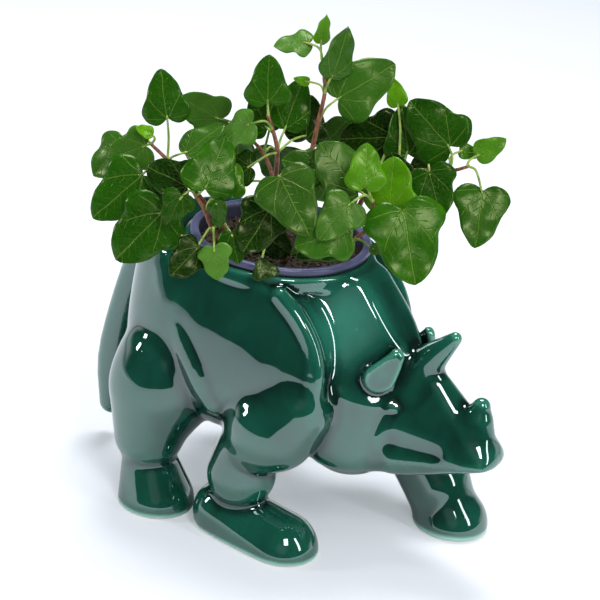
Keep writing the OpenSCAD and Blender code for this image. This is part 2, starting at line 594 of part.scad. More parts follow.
module rear_vine() vine(
    [[-5, 28], [-10, 40, 25], [-20, 48, 42], [-34, 52, 52]],
    [
        [3, -40, 62, 48, 44, -150, -35, 180], [2, -10, 60, 40, 42, 170, -35, 180], [1, 14, 54, 30, 38, 150, -30, 180],
        [3, -52, 46, 62, 36, -60, 10, 180], [2, -16, 50, 66, 36, -10, 15, 180], [1, 22, 48, 54, 32, 30, 15, 180],
    ]);

torso();
head();
right_ear();
left_ear();
brow_horn();
nose_horn();
tail();
right_foreleg();
left_foreleg();
right_hind_leg();
left_hind_leg();
nursery_pot();
potting_mix();
left_vine();
left_front_vine();
middle_vine();
top_vine();
right_vine();
right_front_vine();
front_vine();
rear_vine();
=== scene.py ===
import math
import bmesh
import bpy
import numpy as np
import openvdb
from mathutils import Matrix, Vector


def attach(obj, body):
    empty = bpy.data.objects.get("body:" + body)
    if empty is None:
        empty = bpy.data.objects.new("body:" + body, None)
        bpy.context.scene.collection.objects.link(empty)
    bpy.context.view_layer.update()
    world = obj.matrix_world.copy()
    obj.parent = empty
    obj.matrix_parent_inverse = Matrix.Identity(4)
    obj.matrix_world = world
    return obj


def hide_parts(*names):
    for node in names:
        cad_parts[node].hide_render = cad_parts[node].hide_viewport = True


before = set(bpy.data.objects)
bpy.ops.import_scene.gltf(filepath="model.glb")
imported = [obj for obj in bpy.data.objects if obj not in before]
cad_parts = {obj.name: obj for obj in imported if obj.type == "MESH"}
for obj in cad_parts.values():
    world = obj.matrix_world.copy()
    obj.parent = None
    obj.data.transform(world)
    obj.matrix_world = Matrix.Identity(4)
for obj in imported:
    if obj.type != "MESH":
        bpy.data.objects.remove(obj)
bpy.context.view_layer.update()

# Sizes in millimetres, in the sculptor's frame: origin under the pot's axis, x towards the nose
MM = 0.001
MIDDLE = np.array([22.5, -6.0, 0.0])
LIP_Z, LIP_R, WELL_R, WELL_FLOOR = 188.0, 62.5, 57.5, 86.2
RIM_Z, POT_Z, SOIL_Z = 188.2, 90.2, 184.2
PLATE_C, PLATE_R = np.array([6.0, 0.0, 120.0]), 68
EAR_C = np.array([102.0, -28.0, 136.0])
EAR_OUT = np.array([0.62, -0.78, 0.0]) / 0.9964
EAR_UP = np.array([0.415, 0.328, 0.848])
EAR_ACROSS = np.cross(EAR_OUT, EAR_UP)
SKIN_CELL = 1.75
# Radius at which a turned profile starts, just off its axis
HUB = 0.01
# Turn of the plant's rows to the figure, and the share of a row's length that the blade gets
PLANT_TURN, LEAF_SHARE = math.radians(27), 0.86
STEM_THICK, STALK_THICK = (1.9, 1.1), (0.95, 0.8, 0.7)

# The castings under the glaze
CERAMIC = ["torso", "head", "right_ear", "left_ear", "brow_horn", "nose_horn", "tail",
           "right_foreleg", "left_foreleg", "right_hind_leg", "left_hind_leg"]


def place(points):
    """Sculptor's millimetres to metres in the shared frame."""
    return (np.asarray(points, float) - MIDDLE) * MM


def new_piece(name, verts, faces, *materials):
    mesh = bpy.data.meshes.new(name)
    mesh.from_pydata([tuple(v) for v in verts], [], [tuple(f) for f in faces])
    for material in materials:
        mesh.materials.append(material)
    piece = bpy.data.objects.new(name, mesh)
    bpy.context.scene.collection.objects.link(piece)
    return piece


def smooth(piece):
    piece.data.polygons.foreach_set("use_smooth", [True] * len(piece.data.polygons))
    piece.data.update()


def face_outward(piece):
    tidy = bmesh.new()
    tidy.from_mesh(piece.data)
    bmesh.ops.recalc_face_normals(tidy, faces=tidy.faces)
    tidy.to_mesh(piece.data)
    tidy.free()


def plain_mesh(piece):
    """A piece's mesh with its modifiers worked in."""
    graph = bpy.context.evaluated_depsgraph_get()
    return bpy.data.meshes.new_from_object(piece.evaluated_get(graph), depsgraph=graph)


def grown_mesh(piece, tree, settings):
    """The mesh that a node tree makes of a piece; its named inputs are set by identifier first."""
    growth = piece.modifiers.new("growth", "NODES")
    growth.node_group = tree
    for item in tree.interface.items_tree:
        if item.in_out == "INPUT" and item.name in settings:
            growth[item.identifier] = settings[item.name]
    mesh = plain_mesh(piece)
    piece.modifiers.remove(growth)
    return mesh


# Node writing: one class for sums of sockets, one method that makes any node
class Flow:
    """A socket that can be used in Python sums."""

    def __init__(self, sheet, socket):
        self.sheet, self.socket = sheet, socket

    def math(self, operation, *values):
        return self.sheet.add("ShaderNodeMath", {"operation": operation}, dict(enumerate(values)))

    def __add__(self, other):
        return self.math("ADD", self, other)

    def __radd__(self, other):
        return self.math("ADD", other, self)

    def __sub__(self, other):
        return self.math("SUBTRACT", self, other)

    def __rsub__(self, other):
        return self.math("SUBTRACT", other, self)

    def __mul__(self, other):
        return self.math("MULTIPLY", self, other)

    def __rmul__(self, other):
        return self.math("MULTIPLY", other, self)

    def __truediv__(self, other):
        return self.math("DIVIDE", self, other)

    def __rtruediv__(self, other):
        return self.math("DIVIDE", other, self)

    def __abs__(self):
        return self.math("ABSOLUTE", self)

    def most(self, other):
        return self.math("MAXIMUM", self, other)

    def root(self):
        return self.math("SQRT", self)

    def fraction(self):
        return self.math("FRACT", self)

    def ramp(self, low, high, first=0.0, last=1.0):
        """Smooth step from first to last while this goes from low to high."""
        return self.sheet.add("ShaderNodeMapRange", {"interpolation_type": "SMOOTHSTEP"},
                              {0: self, 1: low, 2: high, 3: first, 4: last})


class Sheet:
    """A node tree that is written by adding nodes."""

    def __init__(self, tree):
        self.tree = tree

    def add(self, kind, settings=None, values=None, out=0):
        """A new node with its settings, then the values or links of its sockets."""
        node = self.tree.nodes.new(kind)
        for name, value in (settings or {}).items():
            setattr(node, name, value)
        for key, value in (values or {}).items():
            if isinstance(value, Flow):
                self.tree.links.new(value.socket, node.inputs[key])
            else:
                node.inputs[key].default_value = value
        return Flow(self, node.outputs[out]) if node.outputs else None

    def outs(self, kind, settings=None, values=None):
        """All the outputs of a new node."""
        node = self.add(kind, settings, values).socket.node
        return [Flow(self, socket) for socket in node.outputs]

    def parts(self, vector):
        return self.outs("ShaderNodeSeparateXYZ", {}, {0: vector})

    def tint(self, share, first, last):
        """Colour between first and last."""
        return self.add("ShaderNodeMix", {"data_type": "RGBA"}, {0: share, 6: first, 7: last}, 2)

    def noise(self, where, scale, detail=2.0, rough=0.5):
        return self.add("ShaderNodeTexNoise", {}, {"Vector": where, "Scale": scale, "Detail": detail,
                                                   "Roughness": rough})

    def grain(self, where, stretch, detail):
        """Noise that is finer along some axes than along others."""
        return self.noise(self.add("ShaderNodeMapping", {}, {0: where, 3: stretch}), 1.0, detail)

    def carried(self, name):
        """A number that the mesh carries, for a material."""
        return self.add("ShaderNodeAttribute", {"attribute_name": name}, {}, 2)

    def named(self, name, kind):
        """An attribute of the mesh, for Geometry Nodes."""
        return self.add("GeometryNodeInputNamedAttribute", {"data_type": kind}, {"Name": name})

    def join(self, *parts):
        both = self.add("GeometryNodeJoinGeometry")
        for part in parts:
            self.tree.links.new(part.socket, both.socket.node.inputs[0])
        return both

    def bump(self, height, distance, strength=1.0, normal=None):
        values = {"Height": height, "Distance": distance, "Strength": strength}
        if normal is not None:
            values["Normal"] = normal
        return self.add("ShaderNodeBump", {}, values)


def growth_sheet(name, inputs, output):
    """A new Geometry Nodes sheet with named inputs, and their flows."""
    tree = bpy.data.node_groups.new(name, "GeometryNodeTree")
    for title, kind in inputs:
        tree.interface.new_socket(title, in_out="INPUT", socket_type="NodeSocket" + kind)
    tree.interface.new_socket(output, in_out="OUTPUT", socket_type="NodeSocketGeometry")
    sheet = Sheet(tree)
    return sheet, sheet.outs("NodeGroupInput")[:len(inputs)]


def colour(red, green, blue):
    """Display colour from 0 to 255 as a linear colour."""
    def linear(c):
        c /= 255
        return c / 12.92 if c <= 0.04045 else ((c + 0.055) / 1.055) ** 2.4
    return (linear(red), linear(green), linear(blue), 1.0)


def finish_of(name):
    """A new material: its sheet, its shader node and the place on the piece."""
    material = bpy.data.materials.new(name)
    material.use_nodes = True
    sheet = Sheet(material.node_tree)
    shader = material.node_tree.nodes["Principled BSDF"]
    where = sheet.add("ShaderNodeTexCoord", {}, {}, 3)
    return material, sheet, shader, where


def feed(sheet, shader, **values):
    for name, value in values.items():
        socket = shader.inputs[name.replace("_", " ")]
        if isinstance(value, Flow):
            sheet.tree.links.new(value.socket, socket)
        else:
            socket.default_value = value


# Finishes
def glaze_finish():
    material, sheet, shader, where = finish_of("emerald_glaze")
    ahead, aside, up = sheet.parts(where)
    edge = sheet.carried("edge")
    cloud = sheet.noise(where, 38.0, 3.0)
    streak = sheet.grain(where, (160.0, 160.0, 22.0), 3.0)
    broad = sheet.noise(where, 11.0, 2.0)
    depth = (edge + (broad - 0.5) * 1.3 + (cloud - 0.5) * 0.5 + (streak - 0.5) * 0.4).ramp(-0.7, 0.9)
    body = sheet.tint(depth, colour(3, 26, 19), colour(20, 86, 67))
    # Painted light: a lighter, brighter green on the neck's near face where the key light falls, fading out
    # at the edge of an egg-shaped patch round the neck
    x, y, z = (ahead - 0.048) / 0.03, (abs(aside - 0.006) - 0.03) / 0.03, (up - 0.16) / 0.035
    neck = (x * x + y * y + z * z).root().ramp(0.1, 1.2, 1.0, 0.0)
    body = sheet.tint(neck * (cloud * 0.8 + 0.3), body, colour(48, 132, 112))
    thin = sheet.tint(edge.ramp(0.7, 2.2) * 0.55, body, colour(80, 156, 130))
    foot = (up + (cloud - 0.5) * 0.002).ramp(0.001, 0.005)
    hem = sheet.tint(foot, colour(150, 205, 186), thin)
    sole = (up + (streak - 0.5) * 0.001).ramp(0.0006, 0.0016)
    biscuit = sheet.tint(sheet.noise(where, 900.0, 2.0), colour(205, 180, 160), colour(232, 212, 196))
    tone = sheet.tint(sole, biscuit, hem)
    swell = sheet.noise(where, 55.0, 1.0)
    pits = sheet.add("ShaderNodeTexVoronoi", {}, {"Vector": where, "Scale": 130.0}).ramp(0.02, 0.07, 1.0, 0.0)
    relief = sheet.bump(swell, 0.0012, 0.2, sheet.bump(pits, 0.0002, 0.25))
    feed(sheet, shader, Base_Color=tone, Roughness=sole.ramp(0.0, 1.0, 0.7, 0.035), Normal=relief,
         IOR=2.05, Specular_Tint=(0.84, 1.0, 0.98, 1.0))
    return material


def plastic_finish():
    material, sheet, shader, where = finish_of("pot_plastic")
    up = sheet.parts(where)[2]
    haze = sheet.noise(where, 240.0, 3.0)
    scuff = sheet.grain(where, (60.0, 60.0, 900.0), 2.0)
    wall = sheet.tint(haze, colour(40, 43, 62), colour(62, 65, 88))
    # Painted highlight: the top of the rolled rim is a paler lavender than the wall, where light catches it
    rim = sheet.tint(up.ramp(0.1895, 0.1925), wall, colour(78, 82, 118))
    feed(sheet, shader, Base_Color=rim, Roughness=scuff.ramp(0.2, 0.8, 0.28, 0.42),
         Normal=sheet.bump(haze, 0.0003, 0.3))
    return material


def peat_finish():
    material, sheet, shader, where = finish_of("damp_peat")
    crumb = sheet.noise(where, 420.0, 5.0, 0.65)
    clod = sheet.noise(where, 90.0, 3.0)
    dark = sheet.tint(crumb.ramp(0.3, 0.7), colour(28, 20, 15), colour(84, 62, 44))
    fleck = sheet.noise(where, 700.0, 1.0).ramp(0.66, 0.72)
    tone = sheet.tint(fleck * 0.6, sheet.tint(clod, dark, colour(46, 34, 25)), colour(168, 142, 108))
    feed(sheet, shader, Base_Color=tone, Roughness=crumb.ramp(0.0, 1.0, 0.95, 0.7),
         Normal=sheet.bump(crumb, 0.002, 0.8))
    return material


def leaf_finish():
    material, sheet, shader, where = finish_of("ivy_leaf")
    across, along, _ = sheet.parts(sheet.add("ShaderNodeUVMap", {"uv_map": "blade"}))
    x, y = abs(across - 0.5), along - 0.15

    def vein(angle, width, bow):
        s, c = math.sin(angle), math.cos(angle)
        run = x * s + y * c
        off = abs(x * c - y * s + run * run * bow)
        return off, run, off.ramp(width * 0.35, width, 1.0, 0.0) * run.ramp(0.0, 0.03)

    mid_off, mid_run, mid = vein(0.0, 0.016, 0.0)
    side_off, side_run, side = vein(0.72, 0.013, 0.25)
    _, low_run, low = vein(1.5, 0.011, 0.15)
    main = mid.most(side * side_run.ramp(0.5, 0.62, 1.0, 0.0))
    main = main.most(low * low_run.ramp(0.36, 0.46, 1.0, 0.0))

    def branches(run, off, count, slant):
        wave = (run * count - off * slant).fraction()
        return abs(wave - 0.5).ramp(0.40, 0.48) * off.ramp(0.0, 0.16, 1.0, 0.0)

    twig = branches(mid_run, mid_off, 7.0, 6.0).most(branches(side_run, side_off, 8.0, 7.0) * 0.8)
    cells = sheet.add("ShaderNodeTexVoronoi", {"feature": "DISTANCE_TO_EDGE"},
                      {"Vector": where, "Scale": 330.0})
    net = cells.ramp(0.02, 0.10, 1.0, 0.0)
    # Painted shade and light: the tone each leaf carries is partly its own green and partly how lit it is,
    # and takes it from dark to bright green
    tone = sheet.carried("tone")
    pale = sheet.carried("pale")
    back = sheet.carried("back")
    patch = sheet.noise(where, 70.0, 3.0)
    shade = tone + (patch - 0.5) * 0.3
    dark = sheet.tint(shade.ramp(0.0, 0.5), colour(5, 28, 2), colour(28, 80, 4))
    bright = sheet.tint(shade.ramp(0.45, 1.0), dark, colour(96, 160, 10))
    silver = sheet.tint(pale.most(back * 0.5), bright, colour(78, 128, 42))
    veined = sheet.tint(main * 0.2, silver, colour(150, 190, 70))
    fine = sheet.tint((twig * 0.1).most(net * 0.04), veined, colour(140, 178, 74))
    height = patch * 0.6 - main * 0.9 - twig * 0.6
    feed(sheet, shader, Base_Color=fine, Roughness=pale.most(back).ramp(0.0, 1.0, 0.26, 0.42),
         Normal=sheet.bump(height, 0.0011, 0.7), IOR=1.35, Specular_Tint=(0.9, 1.0, 0.5, 1.0))
    return material


def bark_finish():
    material, sheet, shader, where = finish_of("ivy_bark")
    green = sheet.carried("green")
    grain = sheet.grain(where, (900.0, 900.0, 260.0), 4.0)
    knot = sheet.noise(where, 160.0, 2.0)
    wood = sheet.tint(grain.ramp(0.3, 0.7), colour(84, 46, 28), colour(150, 96, 62))
    stalk = sheet.tint(knot.ramp(0.3, 0.75), colour(92, 134, 44), colour(172, 192, 92))
    feed(sheet, shader, Base_Color=sheet.tint(green, wood, stalk), Roughness=grain.ramp(0.0, 1.0, 0.55, 0.4),
         Normal=sheet.bump(grain, 0.0005, 0.6))
    return material


GLAZE, PLASTIC, PEAT = glaze_finish(), plastic_finish(), peat_finish()
LEAF, BARK = leaf_finish(), bark_finish()


# Clay: the sculpted figure as a distance field, in millimetres
def blend(d, e, k):
    """Two forms as one, with a fillet of width k."""
    h = np.maximum(k - np.abs(d - e), 0) / k
    return np.minimum(d, e) - h * h * k / 4


def trim(d, e, k):
    """What two forms share, with an edge rounded over width k."""
    return -blend(-d, -e, k)


def tub(d, e, r):
    """Where two walls meet in an edge of radius r."""
    a, b = np.maximum(d + r, 0), np.maximum(e + r, 0)
    return np.minimum(np.maximum(d, e), -r) + np.sqrt(a * a + b * b)


def roll(p, a, b, ra, rb):
    """A tapered finger of clay: all the balls between one at a and one at b."""
    way = np.subtract(b, a).astype(float)
    length = math.sqrt(way.dot(way))
    way /= length
    taper = (ra - rb) / length
    px, py, pz = p[0] - a[0], p[1] - a[1], p[2] - a[2]
    along = px * way[0] + py * way[1] + pz * way[2]
    off = np.sqrt(np.maximum(px * px + py * py + pz * pz - along * along, 0))
    ball = np.clip(along - off * taper / math.sqrt(1 - taper * taper), 0, length)
    return np.sqrt(off * off + (along - ball) ** 2) - ra + taper * ball


def sweep(p, rows, steps=3):
    """A finger of clay along a smooth curve; each row is a place and a radius."""
    rows = np.array(rows, float)
    rows = np.vstack([2 * rows[0] - rows[1], rows, 2 * rows[-1] - rows[-2]])
    curve = [rows[1]]
    for i in range(1, len(rows) - 2):
        a, b, c, d = rows[i - 1:i + 3]
        for f in np.arange(1, steps + 1) / steps:
            bow = 2 * a - 5 * b + 4 * c - d + f * (3 * (b - c) + d - a)
            curve.append(b + 0.5 * f * (c - a + f * bow))
    d = roll(p, curve[0][:3], curve[1][:3], curve[0][3], curve[1][3])
    for e, f in zip(curve[1:], curve[2:]):
        d = np.minimum(d, roll(p, e[:3], f[:3], e[3], f[3]))
    return d


def egg(p, c, r):
    """An ellipsoid round c with the radii r."""
    x, y, z = ((p[i] - c[i]) / r[i] for i in range(3))
    k = np.sqrt(x * x + y * y + z * z)
    g = np.sqrt((x / r[0]) ** 2 + (y / r[1]) ** 2 + (z / r[2]) ** 2)
    return k * (k - 1) / np.maximum(g, 1e-6)


def plane(p, c, n):
    """Height over the plane through c that faces n."""
    n = np.array(n, float)
    n /= np.sqrt(n.dot(n))
    return (p[0] - c[0]) * n[0] + (p[1] - c[1]) * n[1] + (p[2] - c[2]) * n[2]


TAIL = [(-88, 0, 172, 16), (-106, 0, 142, 11), (-117, 0, 100, 10.5), (-121, 0, 60, 12), (-120, 0, 26, 9)]


def right_side(p):
    """Both sides folded onto the right one."""
    return p[0], -np.abs(p[1]), p[2]


def barrel(p):
    """Belly and flanks that lean in to the lip, a round rump, and the shoulder plates' arc in front."""
    x, y, z = p
    wide = np.abs(y) / np.sqrt(np.maximum(1 - ((x + 20) / 172) ** 2, 0.2))
    slope = math.radians(20)
    lean = (wide - LIP_R + 1) * math.cos(slope) + (z - LIP_Z + 2) * math.sin(slope)
    half = 77 + np.clip(0.07 * (x - 11), -5, 4)
    over = z - 110
    tall = np.where(over > 0, 170, 56)
    ring = np.sqrt((wide / half) ** 2 + (over / tall) ** 2)
    steep = np.sqrt((wide / half ** 2) ** 2 + (over / tall ** 2) ** 2)
    flank = trim(ring * (ring - 1) / np.maximum(steep, 1e-6), lean, 10)
    shell = trim(tub(flank, -91 - x, 46), z - LIP_Z, 9)
    arc = np.sqrt(np.maximum(x - PLATE_C[0], 0) ** 2 + (z - PLATE_C[2]) ** 2) - PLATE_R
    return trim(shell, arc, 7)


def collar(p):
    """The ring round the well's lip."""
    x, y, z = p
    slope = math.radians(6)
    cone = (np.sqrt(x * x + y * y) - LIP_R - (LIP_Z - z) * math.tan(slope)) * math.cos(slope)
    return tub(cone, np.abs(z - LIP_Z + 5) - 5, 2)


def neck(p):
    """A faceted block that slopes from the lip to the head."""
    q = right_side(p)
    x, y, z = p
    side = plane(q, (76, -17, 182), (0.433, -0.793, 0.428))
    wall = plane(q, (85, -45, 0), (0.8, -0.6, 0))
    front = plane(q, (76, 0, 182), (0.754, 0, 0.657))
    faces = trim(trim(side, wall, 14), front, 4)
    block = trim(trim(faces, z - LIP_Z + 1, 6), 88 - z, 20)
    return trim(trim(block, 20 - x, 5), np.abs(y) - 50, 8)


def hem(p):
    """The raised edge of each shoulder plate."""
    swing = np.radians([63, 46, 29, 12, -2, -9])
    reach = PLATE_R * np.array([0.97, 0.97, 0.98, 0.98, 0.93, 0.85])
    out = [58, 59.5, 60, 61, 62, 62]
    rows = [(PLATE_C[0] + r * math.cos(a), -o, PLATE_C[2] + r * math.sin(a), 3)
            for a, r, o in zip(swing, reach, out)]
    return sweep(right_side(p), rows)


def body(p):
    """Barrel, neck and hem with breast, thighs, skin folds and shoulder caps."""
    q = right_side(p)
    back = blend(barrel(p), collar(p), 3)
    front = blend(blend(back, neck(p), 5), hem(p), 6)
    chest = blend(front, egg(p, (76, 0, 80), (34, 47, 34)), 10)
    bulge = tub(egg(p, (75, 0, 93), (32, 45, 1000)), plane(p, (86, 0, 119), (0.42, 0, 0.91)), 4)
    chest = blend(chest, trim(bulge, 66 - p[2], 10), 10)
    thighs = blend(chest, egg(q, (-47, -47, 92), (37, 38, 45)), 4)
    fold = sweep(q, [(-29, -62, 135, 10), (-20, -65.2, 124, 11), (-9, -67, 110, 11), (2, -67, 94, 8)])
    thighs = blend(thighs, fold, 3)
    caps = blend(thighs, roll(p, (42, -57, 86), (56, -54, 104), 30, 24), 6)
    return blend(caps, roll(p, (58, 57, 86), (72, 54, 104), 30, 24), 6)


def foreleg(p, rows, heel, toe):
    foot = roll(p, heel[:3], toe[:3], heel[3], toe[3])
    return blend(sweep(p, rows), foot, 6)


def hind_leg(p, y, toe_x, hip):
    shank = roll(p, (hip, 0.9 * y, 82), (toe_x - 12, y, 50), 33, 24)
    return blend(shank, roll(p, (toe_x - 12, y, 34), (toe_x - 2, y, 2), 17, 26), 4)


def skull(p):
    """A wedge of flat cheeks and bridge, with jaw, the hollow above it, snout, eyes and two horns."""
    q = right_side(p)
    cheek = plane(q, (104, -30, 89), (0.186, -0.913, 0.363))
    under = plane(q, (104, -31.6, 85), (0.086, -0.758, -0.616))
    base = plane(p, (170, 0, 81), (0.334, 0, -0.943))
    bridge = plane(p, (130, 0, 136), (0.684, 0, 0.73))
    front = plane(p, (178, 0, 98), (0.96, 0, 0.28))
    wedge = cheek
    for side, k in ((under, 6), (base, 6), (bridge, 9), (p[2] - 137, 8), (front, 10), (98 - p[0], 8)):
        wedge = trim(wedge, side, k)
    jaw = sweep(q, [(100, -16, 74, 14), (120, -14, 76, 13), (168, -3, 88, 8)])
    snout = roll(p, (164, 0, 88), (161, 0, 109), 12, 8)
    scoop = roll(q, (117, -38.6, 89), (143, -33.6, 89), 14, 12.5)
    face = trim(blend(blend(wedge, jaw, 6), snout, 4), -scoop, 4)
    horn = sweep(p, [(110, 0, 118, 17), (118, 0, 138, 11.5), (134.5, 0, 160.5, 4.5)])
    stub = roll(p, (156, 0, 104), (160, 0, 120.5), 11, 6)
    eye = egg(q, (107, -19.5, 109), (4.2, 3.2, 3))
    return blend(blend(blend(face, eye, 3), horn, 5), stub, 6)


def ears(p):
    """Thin bent leaves of clay with a hollow in front."""
    q = right_side(p)
    off = [q[i] - EAR_C[i] for i in range(3)]
    u, w, t = (off[0] * n[0] + off[1] * n[1] + off[2] * n[2] for n in (EAR_UP, EAR_ACROSS, EAR_OUT))
    leaf = roll((u, w, np.zeros_like(u)), (-6, 0, 0), (12, 0, 0), 10.5, 5)
    shell = tub(leaf, np.abs(t + 0.012 * (u * u + w * w) - 1) - 3.2, 2.5)
    return trim(shell, -egg((u, w, t), (-4, 1, 12), (26, 13, 10.5)), 2.5)


def figure(p):
    """The whole figure with its well, on four feet."""
    right = foreleg(p, [(38, -57, 86, 26), (25, -57, 62, 21), (22, -57, 44, 23)],
                    (12, -57, 12, 21), (58, -57, 0.5, 25))
    right = blend(right, hind_leg(p, -60, -38, -50), 1)
    left = foreleg(p, [(66, 50, 86, 27), (98, 50, 50, 24), (116, 50, 28, 23.5)],
                   (119, 50, 24, 19), (131, 50, 1, 26))
    left = blend(left, hind_leg(p, 60, -24, -44), 1)
    stand = blend(blend(body(p), right, 7), left, 7)
    whole = blend(blend(blend(stand, skull(p), 5), ears(p), 4), sweep(p, TAIL), 8)
    well = np.maximum(np.sqrt(p[0] ** 2 + p[1] ** 2) - WELL_R, WELL_FLOOR - p[2])
    return trim(trim(trim(whole, p[2] - LIP_Z, 2), -well, 2), -p[2], 2.5)


def glazed_skin():
    """One glazed surface over all the castings, from the field's zero level."""
    low, high = np.array([-142.0, -98.0, -4.0]), np.array([188.0, 98.0, 194.0])
    axes = [np.arange(low[i], high[i], SKIN_CELL) for i in range(3)]
    x, y, z = np.meshgrid(*axes, indexing="ij", sparse=True)
    x, y, z = (np.broadcast_to(v, [len(a) for a in axes]).astype(np.float32) for v in (x, y, z))
    field = figure((x, y, z)).astype(np.float32)
    grid = openvdb.FloatGrid(background=20.0)
    grid.copyFromArray(field)
    points, quads = grid.convertToQuads(isovalue=0.0)
    points = points.astype(float) * SKIN_CELL + low

    def depth(v):
        return figure(tuple(v.T))

    def slope(v, h):
        return np.stack([depth(v + d) - depth(v - d) for d in np.eye(3) * h], 1) / (2 * h)

    for _ in range(3):
        g = slope(points, 0.4)
        step = depth(points) / np.maximum((g * g).sum(1), 0.05)
        points -= g * np.clip(step, -1.0, 1.0)[:, None]
    skin = new_piece("glazed_figure", place(points), quads, GLAZE)
    face_outward(skin)
    smooth(skin)
    facing = slope(points, 0.6)
    facing /= np.sqrt((facing * facing).sum(1, keepdims=True))
    skin.data.normals_split_custom_set_from_vertices(facing)
    reach, gain = 3.0, 4.0
    around = np.concatenate([np.eye(3), -np.eye(3)])
    bend = sum(depth(points + d * reach) for d in around) - 6 * depth(points)
    edge = skin.data.attributes.new("edge", "FLOAT", "POINT")
    edge.data.foreach_set("value", np.clip(bend / reach ** 2 * gain, -2, 2).astype(np.float32))
    return skin


